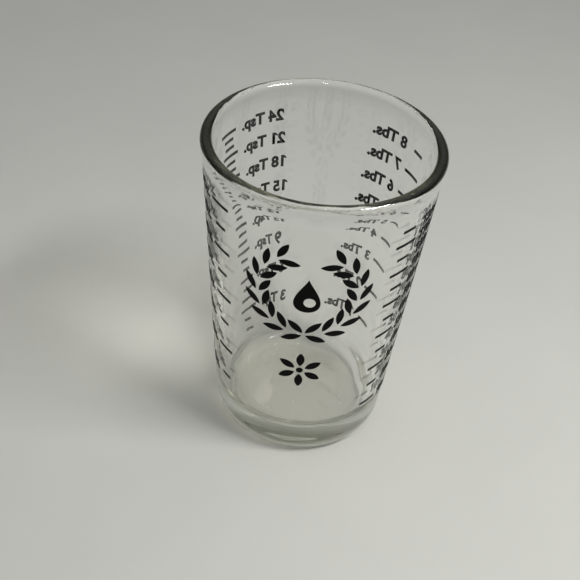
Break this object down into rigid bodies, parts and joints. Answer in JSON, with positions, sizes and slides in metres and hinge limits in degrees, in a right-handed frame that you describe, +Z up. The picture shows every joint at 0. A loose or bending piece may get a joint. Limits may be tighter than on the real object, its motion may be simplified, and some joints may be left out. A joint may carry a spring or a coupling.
{
  "type": "measuring cup",
  "caption": "Small tapered clear glass measuring cup with a thick rounded foot and black fired scales in teaspoons, tablespoons, fluid ounces and millilitres.",
  "frame": {"origin": "centre of the flat ring that the glass stands on, on the axis of the glass", "axes": "+Z up along the axis of the glass; the ornament on the front faces -Y, with the fluid ounce scale on the -X side of it and the millilitre scale on the +X side"},
  "size_m": [0.061, 0.061, 0.087],
  "materials": {
    "clear_glass": "clear, polished",
    "black_enamel": "fired enamel, semi-gloss"
  },
  "bodies": {
    "root": {"tumbler": "clear_glass", "teaspoon_lines": "black_enamel", "tablespoon_lines": "black_enamel", "ounce_lines": "black_enamel", "millilitre_lines": "black_enamel", "wreath_print": "black_enamel", "rosette_print": "black_enamel"}
  },
  "joints": []
}
